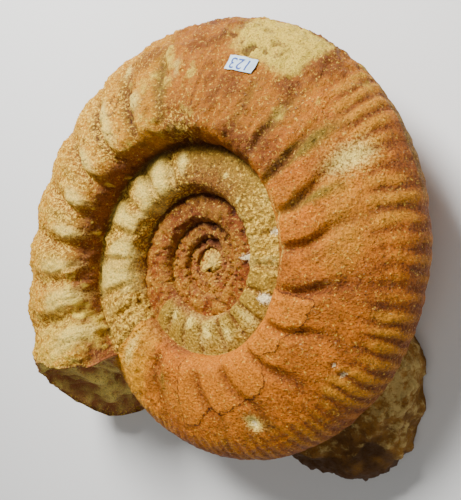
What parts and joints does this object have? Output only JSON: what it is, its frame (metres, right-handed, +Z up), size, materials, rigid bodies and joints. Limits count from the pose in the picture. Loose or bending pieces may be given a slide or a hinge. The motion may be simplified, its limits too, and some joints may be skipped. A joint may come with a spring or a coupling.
{
  "type": "fossil ammonite",
  "caption": "Large ribbed fossil ammonite lying on its flank, broken off at the end of its last whorl, with a lump of rock under one side and a small paper slip.",
  "frame": {"origin": "on the flat base of the rock, under the shell's coiling axis", "axes": "+Z up along the coiling axis; the shell grows counter-clockwise seen from above, and its broken end lies 224 degrees round from +X"},
  "size_m": [0.2279, 0.2056, 0.0734],
  "materials": {
    "fossil_stone": "iron-stained limestone, satin on the ribs and rough where worn",
    "matrix_stone": "rough broken limestone",
    "label_paper": "matt paper"
  },
  "bodies": {
    "root": {"ammonite": "fossil_stone", "matrix": "matrix_stone", "label": "label_paper"}
  },
  "joints": []
}
